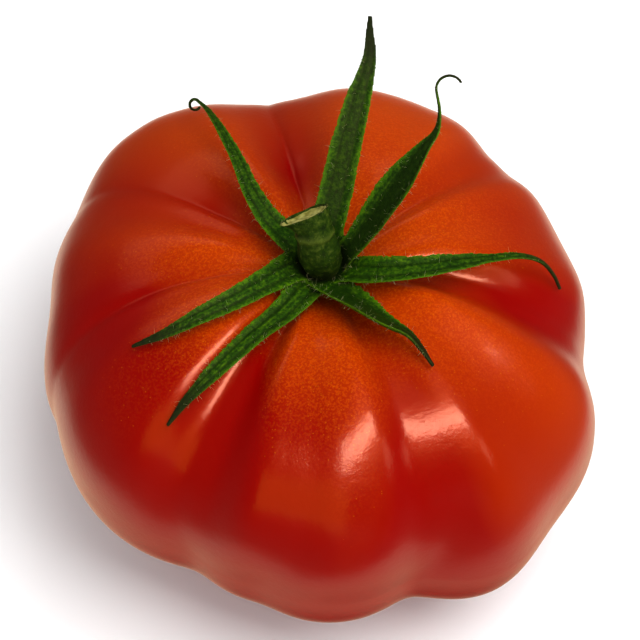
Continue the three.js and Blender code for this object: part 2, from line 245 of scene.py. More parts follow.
# Hairs: thickness and lengths in metres, how far they lean, how often a place is looked for, and
# where along a sepal its bare tip starts.
HAIR_SEED = 7
HAIR_THICKNESS = 0.00005
HAIR_LEAN = 0.45
TRIES_PER_HAIR = 30
BARE_TIP_FROM = 0.93
SEPAL_HAIR_LENGTHS, STEM_HAIR_LENGTHS = (0.0004, 0.0011), (0.0003, 0.0009)

CAMERA_AIM_FROM_AXIS = Vector((-0.35, 0.0, 39.17))
CAMERA_DISTANCE = 500.0
CAMERA_ELEVATION = 56.0
SENSOR_WIDTH = 36.0
MM_PER_PIXEL = 0.1673
IMAGE_SIDE = 640

# Softboxes: name, azimuth, elevation, distance, width and height in metres, watts, colour, and
# whether the gloss sees them. Those that it doesn't see light everything evenly instead.
AMBER, PEACH, PINK, WHITE = (1.0, 0.38, 0.04), (1.0, 0.47, 0.27), (1.0, 0.55, 0.38), (1.0, 1.0, 1.0)
SOFTBOXES = (
    ("window", 250, 29, 0.9, 0.58, 0.45, 2.6, AMBER, True),
    ("lamp_glow", 296, 56, 0.9, 1.05, 0.50, 1.4, AMBER, True),
    ("lamp_strip", 299, 60, 0.88, 0.72, 0.16, 17.0, PINK, True),
    ("side_lamp", 335, 34, 0.9, 0.19, 0.16, 0.7, PEACH, True),
    ("back_lamp", 118, 36, 0.9, 0.9, 0.35, 1.7, PEACH, True),
    ("fill", 345, 66, 1.1, 0.9, 0.9, 13.6, WHITE, False),
    ("front_fill", 272, 12, 1.0, 0.8, 0.3, 2.5, WHITE, False),
)
SOFTBOX_TARGET = Vector((0, 0, 0.03))

# Light that the gloss sees round the tomato, from straight below at 0 to overhead at 1.
GLOSS_SURROUNDINGS = (
    (0.0, (0.2, 0.08, 0.05)),
    (0.06, (1.2, 0.8, 0.5)),
    (0.16, (1.4, 1.0, 0.75)),
    (0.25, (0.4, 0.18, 0.11)),
    (0.35, (0.14, 0.055, 0.03)),
    (0.52, (0.05, 0.02, 0.01)),
    (0.58, (0.0, 0.0, 0.0)),
    (1.0, (0.0, 0.0, 0.0)),
)
AIR_GREY, BACKGROUND_GREY = 0.6, 0.95

# Places of the colour sockets of Blender's mix node, which share their names with other sockets.
MIX_FACTOR, MIX_A, MIX_B, MIX_RESULT = 0, 6, 7, 2


def srgb(code):
    """Linear red, green and blue of an sRGB hex colour."""
    channels = (int(code[i:i + 2], 16) / 255 for i in (1, 3, 5))
    return tuple(c / 12.92 if c <= 0.04045 else ((c + 0.055) / 1.055) ** 2.4 for c in channels)


def ease(x):
    x = min(max(x, 0.0), 1.0)
    return x * x * (3 - 2 * x)


def mix(a, b, t):
    return a + (b - a) * t


def furrow_depth(up, down, azimuth):
    """Depth of all furrows. Up is 0 on the widest line and 1 at the stem, down 1 at the base."""
    if down > 0:
        blend, fade = ease(down / BLEND_DOWN), 1 - ease((down - FADE_DOWN) / FADE_DOWN_LENGTH)
    else:
        blend, fade = ease(up / BLEND_UP), 1 - ease((up - FADE_UP) / FADE_UP_LENGTH)
    shoulder_share, arch = ease(up / SHOULDER_REACHED), math.sin(math.pi * up)
    total = 0.0
    for at, drift, bow, wide, tighter, soft, rounded, shoulder, widest, base in FURROWS + CREASES:
        aside = abs((azimuth - at - drift * up - bow * arch + 180) % 360 - 180)
        if aside < FURROW_REACH * wide:
            width = wide * (1 - tighter * shoulder_share)
            blunt = soft * width
            depth = widest + ((base if down > 0 else shoulder) - widest) * blend
            off = max(math.hypot(aside, blunt) - blunt, 0.0) / width
            total += depth * math.exp(-(off ** (1 + rounded * shoulder_share)))
    return total * fade


def shoulder_swell(up, azimuth):
    total = 0.0
    for at, height, wide, tall, rise in SHOULDER_SWELLINGS:
        aside = (azimuth - at + 180) % 360 - 180
        total += rise * math.exp(-((aside / wide) ** 2) - ((up - height) / tall) ** 2)
    return total


def lobe_swell(azimuth):
    for start, end, rise in SWELLS:
        along = (azimuth - start) % 360 / (end - start)
        if along < 1:
            return rise * math.sin(math.pi * along) ** 2
    return 0.0


def blush_at(azimuth):
    """Share of orange on the shoulder, eased from lobe to lobe."""
    for (a, first), (b, second) in zip(BLUSH, (*BLUSH[1:], BLUSH[0])):
        along = (azimuth - a) % 360 / ((b - a) % 360)
        if along < 1:
            return mix(first, second, ease(along))
    raise ValueError(azimuth)


def skin_at(climb, azimuth):
    """The skin's distance from the stem axis and height. Climb is 0 at the base, pi at the stem."""
    above = climb > math.pi / 2
    n = TOP_SQUARENESS if above else BASE_SQUARENESS
    rise = TOP_RISE if above else BASE_DROP
    across, height = math.sin(climb), -math.cos(climb)
    scale = (abs(across) ** n + abs(height) ** n) ** (-1 / n)
    reach = MEAN_RADIUS * (
        1
        + OVAL_SHARE * math.cos(2 * math.radians(azimuth - OVAL_AZIMUTH))
        + OFFSET_SHARE * math.cos(math.radians(azimuth - OFFSET_AZIMUTH))
    )
    outward = Vector((
        abs(across * scale) ** (n - 1) / reach,
        math.copysign(abs(height * scale) ** (n - 1) / rise, height),
    )).normalized()
    up = max(0.0, climb / (math.pi / 2) - 1)
    down = max(0.0, 1 - climb / (math.pi / 2))
    sunk = furrow_depth(up, down, azimuth) - lobe_swell(azimuth) * across
    if above:
        sunk -= shoulder_swell(up, azimuth)
    distance = reach * across * scale - sunk * outward.x
    z = rise * height * scale - sunk * outward.y
    if above:
        z -= STEM_HOLLOW_DEPTH * math.exp(-((distance / STEM_HOLLOW_RADIUS) ** 2))
    else:
        z += BLOSSOM_HOLLOW_DEPTH * math.exp(-((distance / BLOSSOM_HOLLOW_RADIUS) ** 2))
    z += BASE_DROP - FLATTENED
    return distance, (z + math.hypot(z, FLAT_BLEND)) / 2


def skin_height(distance, azimuth):
    """Height of the upper skin at a distance from the stem axis."""
    low, high = math.pi / 2, math.pi
    for _ in range(HALVINGS):
        middle = (low + high) / 2
        if skin_at(middle, azimuth)[0] > distance:
            low = middle
        else:
            high = middle
    return skin_at(high, azimuth)[1]


def on_azimuth(distance, azimuth, z=0.0):
    turn = math.radians(azimuth)
    return Vector((distance * math.cos(turn), distance * math.sin(turn), z))


def stem_axis():
    """Where the stem axis stands, from the fruit's box and its widest points round the axis."""
    low, high = (Vector(corner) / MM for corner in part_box("fruit"))
    widest = [on_azimuth(skin_at(math.pi / 2, azimuth)[0], azimuth) for azimuth in range(360)]
    x = (low.x + high.x - min(p.x for p in widest) - max(p.x for p in widest)) / 2
    y = (low.y + high.y - min(p.y for p in widest) - max(p.y for p in widest)) / 2
    return Vector((x, y, 0))


AXIS = stem_axis()


def to_frame(point):
    """A point round the stem axis in millimetres, as a point of the frame in metres."""
    return (point + AXIS) * MM


def add_node(tree, kind, inputs=None, stops=(), **settings):
    """One shader node with its settings, its inputs set or linked, and the stops of its ramp."""
    node = tree.nodes.new(kind)
    for name, value in settings.items():
        setattr(node, name, value)
    for name, value in (inputs or {}).items():
        socket = node.inputs[name]
        if isinstance(value, bpy.types.NodeSocket):
            tree.links.new(value, socket)
        else:
            socket.default_value = (*value, 1.0) if socket.type == "RGBA" else value
    for i, (position, colour) in enumerate(stops):
        if i >= len(node.color_ramp.elements):
            node.color_ramp.elements.new(1.0)
        node.color_ramp.elements[i].position = position
        node.color_ramp.elements[i].color = (*colour, 1.0)
    return node


def new_material(name):
    material = bpy.data.materials.new(name)
    material.use_nodes = True
    material.node_tree.nodes.clear()
    return material, material.node_tree


def grey(value):
    return (value, value, value)


def tomato_skin(settings):
    """Ripe tomato skin: a waxy clear cuticle over red flesh, glossy, with golden cork specks and an
    orange grain that is partly painted sheen.
    """
    material, tree = new_material("ripe_tomato_skin")
    place = add_node(tree, "ShaderNodeTexCoord").outputs["Object"]
    patches = add_node(tree, "ShaderNodeTexNoise", {
        "Vector": place, "Scale": 1 / (RIPENING_PATCH * MM), "Detail": 3.0, "Roughness": 0.45})
    uneven = add_node(tree, "ShaderNodeMapRange", {
        "Value": patches.outputs["Fac"], "To Min": -0.2, "To Max": 0.2})
    ripeness = add_node(tree, "ShaderNodeAttribute", attribute_name="unripe")
    warmth = add_node(tree, "ShaderNodeMath", {
        0: ripeness.outputs["Fac"], 1: uneven.outputs["Result"]}, operation="ADD")
    flesh = add_node(tree, "ShaderNodeValToRGB", {"Fac": warmth.outputs["Value"]}, (
        (0.0, settings.deep_red), (1.0, settings.shoulder)))

    # Density of the specks, which also sets how strong the painted sheen on the grain is.
    density = add_node(tree, "ShaderNodeAttribute", attribute_name="specks_and_sheen")
    grain = add_node(tree, "ShaderNodeTexNoise", {
        "Vector": place, "Scale": 1 / settings.grain, "Detail": 2.0, "Roughness": 0.7})
    # Orange on the high points of the fine grain, partly the skin's own grain and partly painted
    # sheen, as strong as the specks are dense.
    sheen_grain_ramp = add_node(tree, "ShaderNodeValToRGB", {"Fac": grain.outputs["Fac"]}, (
        (0.45, grey(0.0)), (0.62, grey(0.7))))
    sheen_grain_amount = add_node(tree, "ShaderNodeMath", {
        0: sheen_grain_ramp.outputs["Color"], 1: density.outputs["Fac"]}, operation="MULTIPLY")
    with_powder_and_sheen = add_node(tree, "ShaderNodeMix", {
        MIX_FACTOR: sheen_grain_amount.outputs["Value"], MIX_A: flesh.outputs["Color"],
        MIX_B: settings.powder_and_sheen}, data_type="RGBA")

    specks = add_node(tree, "ShaderNodeTexVoronoi", {
        "Vector": place, "Scale": 1 / settings.speck_spacing, "Randomness": 1.0})
    dot = add_node(tree, "ShaderNodeValToRGB", {"Fac": specks.outputs["Distance"]}, (
        (0.0, grey(0.6)), (0.16, grey(0.45)), (0.3, grey(0.0))))
    chance = add_node(tree, "ShaderNodeSeparateColor", {"Color": specks.outputs["Color"]})
    rarity = add_node(tree, "ShaderNodeMath", {
        0: density.outputs["Fac"], 1: 0.45}, operation="MULTIPLY")
    drawn = add_node(tree, "ShaderNodeMath", {
        0: chance.outputs["Red"], 1: rarity.outputs["Value"]}, operation="LESS_THAN")
    amount = add_node(tree, "ShaderNodeMath", {
        0: dot.outputs["Color"], 1: drawn.outputs["Value"]}, operation="MULTIPLY")
    speckled = add_node(tree, "ShaderNodeMix", {
        MIX_FACTOR: amount.outputs["Value"], MIX_A: with_powder_and_sheen.outputs[MIX_RESULT],
        MIX_B: settings.speck}, data_type="RGBA")

    scar = add_node(tree, "ShaderNodeAttribute", attribute_name="scar")
    coloured = add_node(tree, "ShaderNodeMix", {
        MIX_FACTOR: scar.outputs["Fac"], MIX_A: speckled.outputs[MIX_RESULT],
        MIX_B: srgb("#8a6a3c")}, data_type="RGBA")

    dimples = add_node(tree, "ShaderNodeTexNoise", {
        "Vector": place, "Scale": 1 / (SKIN_DIMPLE * MM), "Detail": 3.0, "Roughness": 0.6})
    relief = add_node(tree, "ShaderNodeBump", {
        "Height": dimples.outputs["Fac"], "Strength": 0.12, "Distance": 0.0003})
    grainy = add_node(tree, "ShaderNodeBump", {
        "Height": grain.outputs["Fac"], "Strength": 0.5, "Distance": 0.00003,
        "Normal": relief.outputs["Normal"]})
    roughness = add_node(tree, "ShaderNodeMapRange", {
        "Value": dimples.outputs["Fac"], "To Min": 0.28, "To Max": 0.36})
    surface = add_node(tree, "ShaderNodeBsdfPrincipled", {
        "Roughness": roughness.outputs["Result"],
        "IOR": 1.42,
        "Specular IOR Level": 0.24,
        "Specular Tint": (1.0, 0.34, 0.1),
        "Subsurface Weight": 0.12,
        "Subsurface Radius": (0.0035, 0.0009, 0.0004),
        "Subsurface Scale": 1.0,
        "Coat Weight": 0.4,
        "Coat Roughness": 0.15,
        "Coat IOR": 1.4,
        "Base Color": coloured.outputs[MIX_RESULT],
        "Normal": grainy.outputs["Normal"],
        "Coat Normal": grainy.outputs["Normal"],
    })
    add_node(tree, "ShaderNodeOutputMaterial", {"Surface": surface.outputs["BSDF"]})
    return material


def leaf_tissue(settings):
    """Tomato calyx: matt downy leaf tissue with painted shade in its grooves, gutters and the pit
    round the stem, dry and blackish at its tips.
    """
    material, tree = new_material("downy_sepal_leaf")
    place = add_node(tree, "ShaderNodeTexCoord").outputs["Object"]
    across = add_node(tree, "ShaderNodeAttribute", attribute_name="across")
    along = add_node(tree, "ShaderNodeAttribute", attribute_name="along")
    # Painted shade of the sepals' gutters and painted shadow of the pit round the stem's foot.
    deep = add_node(tree, "ShaderNodeAttribute", attribute_name="deep")
    aside = add_node(tree, "ShaderNodeMath", {0: across.outputs["Fac"]}, operation="ABSOLUTE")
    mottle = add_node(tree, "ShaderNodeTexNoise", {
        "Vector": place, "Scale": 1 / (LEAF_MOTTLE * MM), "Detail": 4.0, "Roughness": 0.7})
    body = add_node(tree, "ShaderNodeValToRGB", {"Fac": mottle.outputs["Fac"]}, (
        (0.32, settings.leaf_dark_and_shade), (0.5, settings.leaf), (0.7, settings.leaf_light)))
    # Painted shade along the midline and the two grooves, fading out at the rims.
    painted_groove_shade = add_node(tree, "ShaderNodeValToRGB", {"Fac": aside.outputs["Value"]}, (
        (0.0, grey(0.6)), (0.14, grey(0.1)), (0.34, grey(0.85)), (0.52, grey(0.5)),
        (0.7, grey(0.1)), (1.0, grey(0.0))))
    shaded = add_node(tree, "ShaderNodeMath", {
        0: painted_groove_shade.outputs["Color"], 1: deep.outputs["Fac"]}, operation="MAXIMUM")
    with_painted_shade = add_node(tree, "ShaderNodeMix", {
        MIX_FACTOR: shaded.outputs["Value"], MIX_A: body.outputs["Color"],
        MIX_B: settings.leaf_dark_and_shade}, data_type="RGBA")
    rim = add_node(tree, "ShaderNodeValToRGB", {"Fac": aside.outputs["Value"]}, (
        (0.76, grey(0.0)), (0.96, grey(0.5))))
    rimmed = add_node(tree, "ShaderNodeMix", {
        MIX_FACTOR: rim.outputs["Color"], MIX_A: with_painted_shade.outputs[MIX_RESULT],
        MIX_B: settings.leaf_light}, data_type="RGBA")
    dry = add_node(tree, "ShaderNodeValToRGB", {"Fac": along.outputs["Fac"]}, (
        (0.68, grey(0.0)), (0.86, grey(0.8)), (1.0, grey(0.92))))
    coloured = add_node(tree, "ShaderNodeMix", {
        MIX_FACTOR: dry.outputs["Color"], MIX_A: rimmed.outputs[MIX_RESULT],
        MIX_B: settings.leaf_tip}, data_type="RGBA")
    fuzz = add_node(tree, "ShaderNodeTexNoise", {
        "Vector": place, "Scale": 1 / (LEAF_FUZZ * MM), "Detail": 2.0, "Roughness": 0.7})
    relief = add_node(tree, "ShaderNodeBump", {
        "Height": fuzz.outputs["Fac"], "Strength": 0.6, "Distance": 0.0002})
    surface = add_node(tree, "ShaderNodeBsdfPrincipled", {
        "Base Color": coloured.outputs[MIX_RESULT],
        "Roughness": 0.62,
        "IOR": 1.4,
        "Subsurface Weight": 0.08,
        "Subsurface Radius": (0.0006, 0.001, 0.0003),
        "Subsurface Scale": 1.0,
        "Specular IOR Level": 0.12,
        "Normal": relief.outputs["Normal"],
    })
    add_node(tree, "ShaderNodeOutputMaterial", {"Surface": surface.outputs["BSDF"]})
    return material


def stem_tissue(settings):
    """Cut tomato stem: fuzzy olive green bark, with dry straw pith where it was cut and torn."""
    material, tree = new_material("cut_stem_bark")
    place = add_node(tree, "ShaderNodeTexCoord").outputs["Object"]
    mottle = add_node(tree, "ShaderNodeTexNoise", {
        "Vector": place, "Scale": 1 / (BARK_MOTTLE * MM), "Detail": 5.0, "Roughness": 0.7})
    bark = add_node(tree, "ShaderNodeValToRGB", {"Fac": mottle.outputs["Fac"]}, (
        (0.34, settings.stem_dark), (0.52, settings.stem), (0.74, settings.stem_light)))
    cork = add_node(tree, "ShaderNodeAttribute", attribute_name="cork")
    corky = add_node(tree, "ShaderNodeMix", {
        MIX_FACTOR: cork.outputs["Fac"], MIX_A: bark.outputs["Color"],
        MIX_B: settings.stem_light}, data_type="RGBA")
    fibres = add_node(tree, "ShaderNodeTexVoronoi", {
        "Vector": place, "Scale": 1 / (PITH_FIBRE * MM)})
    pith = add_node(tree, "ShaderNodeValToRGB", {"Fac": fibres.outputs["Distance"]}, (
        (0.1, settings.pith), (0.8, srgb("#6c6828"))))
    cut = add_node(tree, "ShaderNodeAttribute", attribute_name="cut")
    coloured = add_node(tree, "ShaderNodeMix", {
        MIX_FACTOR: cut.outputs["Fac"], MIX_A: corky.outputs[MIX_RESULT],
        MIX_B: pith.outputs["Color"]}, data_type="RGBA")
    relief = add_node(tree, "ShaderNodeBump", {
        "Height": mottle.outputs["Fac"], "Strength": 0.8, "Distance": 0.0005})
    surface = add_node(tree, "ShaderNodeBsdfPrincipled", {
        "Base Color": coloured.outputs[MIX_RESULT],
        "Roughness": 0.68,
        "IOR": 1.4,
        "Specular IOR Level": 0.12,
        "Normal": relief.outputs["Normal"],
    })
    add_node(tree, "ShaderNodeOutputMaterial", {"Surface": surface.outputs["BSDF"]})
    return material


def plant_hair(settings):
    """Plant hair: clear dry cells that look whitish green against the leaf."""
    material, tree = new_material("pale_plant_hair")
    surface = add_node(tree, "ShaderNodeBsdfPrincipled", {
        "Base Color": settings.hair, "Roughness": 0.5, "IOR": 1.4, "Transmission Weight": 0.3})
    add_node(tree, "ShaderNodeOutputMaterial", {"Surface": surface.outputs["BSDF"]})
    return material


def white_card(settings):
    """Matt white studio card."""
    material, tree = new_material("white_studio_card")
    surface = add_node(tree, "ShaderNodeBsdfPrincipled", {
        "Base Color": settings.floor, "Roughness": 0.9, "Specular IOR Level": 0.1})
    add_node(tree, "ShaderNodeOutputMaterial", {"Surface": surface.outputs["BSDF"]})
    return material


def float_layer(bm, name):
    return bm.verts.layers.float.get(name) or bm.verts.layers.float.new(name)


def object_from(bm, name, material):
    """A smooth-shaded mesh object of a bmesh whose points are in the frame's metres."""
    mesh = bpy.data.meshes.new(name)
    bm.to_mesh(mesh)
    bm.free()
    mesh.materials.append(material)
    mesh.polygons.foreach_set("use_smooth", [True] * len(mesh.polygons))
    piece = bpy.data.objects.new(name, mesh)
    bpy.context.scene.collection.objects.link(piece)
    return piece


def smooth_line(points, widths, step):
    """Even places along a centripetal spline through points, each with its width."""
    ends = [2 * points[0] - points[1], *points, 2 * points[-1] - points[-2]]
    knots = [0.0]
    for a, b in zip(ends, ends[1:]):
        knots.append(knots[-1] + math.sqrt((b - a).length))
    fine = []
    for i in range(1, len(points)):
        (p0, p1, p2, p3), (k0, k1, k2, k3) = ends[i - 1:i + 3], knots[i - 1:i + 3]
        leave = (p1 - p0) / (k1 - k0) - (p2 - p0) / (k2 - k0) + (p2 - p1) / (k2 - k1)
        arrive = (p2 - p1) / (k2 - k1) - (p3 - p1) / (k3 - k1) + (p3 - p2) / (k3 - k2)
        for j in range(SPLINE_STEPS):
            t = j / SPLINE_STEPS
            place = (
                p1 * (1 + 2 * t) * (1 - t) ** 2 + p2 * t * t * (3 - 2 * t)
                + (leave * t * (1 - t) ** 2 - arrive * t * t * (1 - t)) * (k2 - k1))
            fine.append((place, mix(widths[i - 1], widths[i], t)))
    fine.append((points[-1], widths[-1]))
    lengths = [0.0]
    for (a, _), (b, _) in zip(fine, fine[1:]):
        lengths.append(lengths[-1] + (b - a).length)
    count = round(lengths[-1] / step)
    wanted = [lengths[-1] * i / count - 1e-9 for i in range(count + 1)]
    return [fine[bisect.bisect_left(lengths, length)] for length in wanted]


def frames_along(places, side):
    """Sideways and upward directions carried along a line without twist."""
    frames, before = [], None
    for i, place in enumerate(places):
        heading = (places[min(i + 1, len(places) - 1)] - places[max(i - 1, 0)]).normalized()
        if before:
            side = before.rotation_difference(heading) @ side
        side = (side - heading * side.dot(heading)).normalized()
        before = heading
        frames.append((place, side, side.cross(heading).normalized(), heading))
    return frames


def sweep(bm, sides, count, place_of):
    """A closed skin of rings drawn out one from the other, shaped by place_of(ring, turn)."""
    turn = float_layer(bm, "turn")
    ring = bmesh.ops.create_circle(bm, cap_ends=True, segments=sides, radius=1.0)["verts"]
    for vert in ring:
        vert[turn] = math.atan2(vert.co.y, vert.co.x)
    edges = list({e for v in ring for e in v.link_edges})
    for i in range(count):
        if i:
            made = bmesh.ops.extrude_edge_only(bm, edges=edges)["geom"]
            ring = [g for g in made if isinstance(g, bmesh.types.BMVert)]
            inside, drawn = set(ring), [g for g in made if isinstance(g, bmesh.types.BMEdge)]
            edges = [e for e in drawn if inside.issuperset(e.verts)]
        for vert in ring:
            vert.co = to_frame(place_of(i, vert[turn], vert))
    bmesh.ops.contextual_create(bm, geom=edges)


def sepal_line(sepal):
    """Frames and widths along a sepal, from inside the crown to the end of its curl."""
    stations = sepal["stations"]
    rows = [(ROOT_DISTANCE, stations[0][1], ROOT_LIFT, stations[0][3]), *stations]
    points = [on_azimuth(r, a, skin_height(r, a) + lift) for r, a, lift, _ in rows]
    line, widths = zip(*smooth_line(points, [row[3] for row in rows], SEPAL_STEP))
    line, widths = list(line), list(widths)
    if sepal["curl"]:
        radius, turn = sepal["curl"]
        count = math.ceil(radius * math.radians(abs(turn)) / CURL_STEP)
        heading = (line[-1] - line[-2]).normalized()
        for i in range(count):
            bend = Matrix.Rotation(math.radians(turn) * (i + 0.5) / count, 3, CURL_AXIS)
            line.append(line[-1] + bend @ heading * (radius * math.radians(abs(turn)) / count))
            widths.append(widths[-1] * CURL_TAPER)
    near, last = range(-WIDTH_SMOOTHING, WIDTH_SMOOTHING + 1), len(widths) - 1
    widths = [
        sum(widths[min(max(i + k, 0), last)] for k in near) / len(near)
        for i in range(last + 1)]
    side = on_azimuth(-1, stations[0][1] + 90)
    return frames_along(line, side), widths


def rise_to_clear(section):
    """How far a section must rise to stay clear of the skin."""
    rise = 0.0
    for point in section:
        distance = math.hypot(point.x, point.y)
        if distance < SHOULDER_EDGE:
            azimuth = math.degrees(math.atan2(point.y, point.x))
            rise = max(rise, skin_height(distance, azimuth) + CLEAR_OF_SKIN - point.z)
    return rise


def sepal_section(turn, width, wave):
    """A point of a sepal's cross-section: a gutter with a rib, two grooves and rolled edges."""
    s = math.cos(turn)
    fineness = min(1.0, width / FULL_WIDTH)
    gutter = GUTTER_SHARE * width * s * s
    groove = -GROOVE_DEPTH * fineness * math.exp(-(((abs(s) - GROOVE_PLACE) / GROOVE_SPREAD) ** 2))
    thick = mix(RIB_HALF, EDGE_HALF, s * s) * mix(FINEST_SHARE, 1.0, fineness)
    edge = wave * abs(s) ** 3 * fineness
    on_top = math.sin(turn) > -0.2
    return s * width / 2, gutter + edge + groove * on_top + thick * math.sin(turn)


def pit_shade(point):
    """How much painted shadow darkens the leaf in the pit round the stem's foot."""
    return 1 - ease((math.hypot(point.x, point.y) - PIT_RADIUS) / PIT_BLEND)


def add_sepal(bm, sepal, seed):
    frames, widths = sepal_line(sepal)
    along, across, deep = (float_layer(bm, key) for key in LEAF_LAYERS)
    total = len(frames) - 1

    def section_point(i, turn):
        place, side, up, _ = frames[i]
        sign = math.copysign(1, math.cos(turn))
        wave = EDGE_WANDER * noise.noise(Vector((i * 0.11, sign * 3.1, seed)))
        narrowing = 1 + WIDTH_WANDER * noise.noise(Vector((i * 0.16, sign * 5.7, seed + 9)))
        roll = math.radians(sepal["roll"]) * ease(2 * i / total)
        x, y = sepal_section(turn, widths[i] * narrowing, wave)
        return (
            place + side * (x * math.cos(roll) - y * math.sin(roll))
            + up * (x * math.sin(roll) + y * math.cos(roll)))

    rises = [
        rise_to_clear([section_point(i, math.pi * k / 6) for k in range(6, 13)])
        for i in range(len(frames))]

    def place_of(i, turn, vert):
        point = section_point(i, turn) + Vector((0, 0, rises[i]))
        vert[along], vert[across] = i / total, math.cos(turn)
        # Painted shade on the upper face of the gutter, and painted shadow in the pit round the
        # stem.
        gutter_shade = ease((TROUGH_EDGE - abs(math.cos(turn))) / TROUGH_FADE) * (math.sin(turn) > 0)
        vert[deep] = max(sepal["deep"] * gutter_shade, pit_shade(point))
        return point

    sweep(bm, SEPAL_SIDES, len(frames), place_of)


def add_crown(bm):
    """The low collar that the sepals grow from, moulded on the skin round the stem."""
    along, across, deep = (float_layer(bm, key) for key in LEAF_LAYERS)
    ball = bmesh.ops.create_uvsphere(
        bm, u_segments=CROWN_SIDES, v_segments=CROWN_RINGS, radius=1.0)["verts"]
    for vert in ball:
        azimuth = math.degrees(math.atan2(vert.co.y, vert.co.x))
        flat = math.hypot(vert.co.x, vert.co.y)
        swell = math.cos(math.radians(CROWN_LOBES * azimuth + CROWN_LOBE_TURN))
        distance = CROWN_REACH * flat * (1 + CROWN_LOBE_SHARE * swell)
        moat = MOAT_DEPTH * math.exp(-(((distance - MOAT_DISTANCE) / MOAT_SPREAD) ** 2))
        lift = CROWN_LIFT + CROWN_HALF * vert.co.z - moat * max(vert.co.z, 0)
        point = on_azimuth(distance, azimuth, skin_height(distance, azimuth) + lift)
        # The crown's place across puts it in the dark band of the painted groove shade; the pit
        # round the stem gets painted shadow.
        vert[along], vert[across], vert[deep] = 0.0, 0.45, pit_shade(point)
        vert.co = to_frame(point)


def fused(bm, name, material, voxel):
    """The pieces of a bmesh grown together into one skin, with its layers kept by nearness."""
    layers = {key: [v[bm.verts.layers.float[key]] for v in bm.verts] for key in LEAF_LAYERS}
    tree = kdtree.KDTree(len(bm.verts))
    for i, vert in enumerate(bm.verts):
        tree.insert(vert.co, i)
    tree.balance()
    rough = object_from(bm, name + "_rough", material)
    remesh = rough.modifiers.new("Grown together", "REMESH")
    remesh.mode = "VOXEL"
    remesh.voxel_size = voxel
    view = bpy.context.evaluated_depsgraph_get()
    mesh = bpy.data.meshes.new_from_object(rough.evaluated_get(view))
    bpy.data.objects.remove(rough)
    bm = bmesh.new()
    bm.from_mesh(mesh)
    for _ in range(2):
        bmesh.ops.smooth_vert(
            bm, verts=bm.verts, factor=0.5, use_axis_x=True, use_axis_y=True, use_axis_z=True)
    for key, values in layers.items():
        layer = float_layer(bm, key)
        for vert in bm.verts:
            near = tree.find_n(vert.co, 3)
            vert[layer] = sum(values[i] for _, i, _ in near) / len(near)
    return object_from(bm, name, material)


def fruit_mesh(settings):
    bm = bmesh.new()
    sides = settings.fruit_sides
    bmesh.ops.create_uvsphere(bm, u_segments=sides, v_segments=sides // 2, radius=1.0)
    unripe, specks_and_sheen, scar = (float_layer(bm, key) for key in ("unripe", "specks_and_sheen", "scar"))
    for vert in bm.verts:
        azimuth = math.degrees(math.atan2(vert.co.y, vert.co.x)) % 360
        climb = math.acos(max(-1.0, min(1.0, -vert.co.z)))
        distance, z = skin_at(climb, azimuth)
        up = max(0.0, climb / (math.pi / 2) - 1)
        down = max(0.0, 1 - climb / (math.pi / 2))
        creased = furrow_depth(up, down, azimuth) / DEEP_FURROW
        round_stem = ease((up - STEM_CIRCLE) / STEM_CIRCLE_LENGTH)
        blush = blush_at(azimuth)
        orange = blush * ease((up - ORANGE_FROM) / ORANGE_LENGTH)
        # Density of the specks, which also sets how strong the painted sheen on the grain is.
        specks = max(blush, FEWEST_SPECKS) * ease((up - SPECKS_FROM) / SPECKS_LENGTH)
        vert[unripe] = mix(orange, ORANGE_AT_STEM, round_stem) - FURROW_REDNESS * creased
        vert[specks_and_sheen] = mix(specks, SPECKS_AT_STEM, round_stem) - creased
        vert[scar] = 1 - ease(distance / SCAR_RADIUS - 1) if down > 0.5 else 0.0
        vert.co = to_frame(on_azimuth(distance, azimuth, z))
    return bm


def stub_mesh():
    bm = bmesh.new()
    foot = skin_height(0, 0) + STUB_FOOT_LIFT
    points = [Vector((x, y, z + foot)) for x, y, z, _ in STUB]
    places, radii = zip(*smooth_line(points, [row[3] for row in STUB], STUB_STEP))
    frames = frames_along(places, Vector((1, 0, 0)))
    cut, cork = float_layer(bm, "cut"), float_layer(bm, "cork")
    body, top = len(frames), places[-1]

    def place_of(i, turn, vert):
        k = min(i, body - 1)
        place, side, up, heading = frames[k]
        share = k / (body - 1)
        ended = ease((share - STUB_END) / STUB_END_LENGTH)
        inner = max(0, i - body + 1) / PITH_RINGS
        x, y = math.cos(turn), math.sin(turn)
        ribs = 1 + 0.025 * math.cos(5 * turn + 0.6) + 0.012 * math.cos(11 * turn)
        rough = 1 + 0.05 * noise.noise(Vector((2.2 * x, 2.2 * y, share * 5)))
        wander = RING_WANDER * noise.noise(Vector((3 * x, 3 * y, 4.0)))
        ring = math.exp(-(((share - RING_SHARE - wander) / RING_SPREAD) ** 2))
        flare = FLARE_RISE * ease((share - FLARE_SHARE) / FLARE_LENGTH) * max(0.0, -x) ** 2
        radius = radii[k] * ribs * rough + RING_RISE * ring + flare
        if inner:
            radius *= 1 - inner
        point = place + (side * x + up * y) * radius
        tooth = TOOTH_RISE * math.exp(-((math.sin((turn + TOOTH_TURN) / 2) / TOOTH_SPREAD) ** 2))
        point += heading * tooth * ended * (1 - inner)
        if share > STUB_END:
            slant = -(point - top).dot(CUT_NORMAL) / heading.dot(CUT_NORMAL)
            point += heading * min(slant, LONGEST_SLANT) * ended
        if inner:
            jag = PITH_JAG * noise.noise(point * 1.3)
            point += CUT_NORMAL * (jag - PITH_DEPTH * ease(inner / 0.35))
        vert[cut] = ease((i - body + 2.5) / 2)
        vert[cork] = RING_CORK * ring
        return point

    sweep(bm, STUB_SIDES, body + PITH_RINGS - 1, place_of)
    return bm


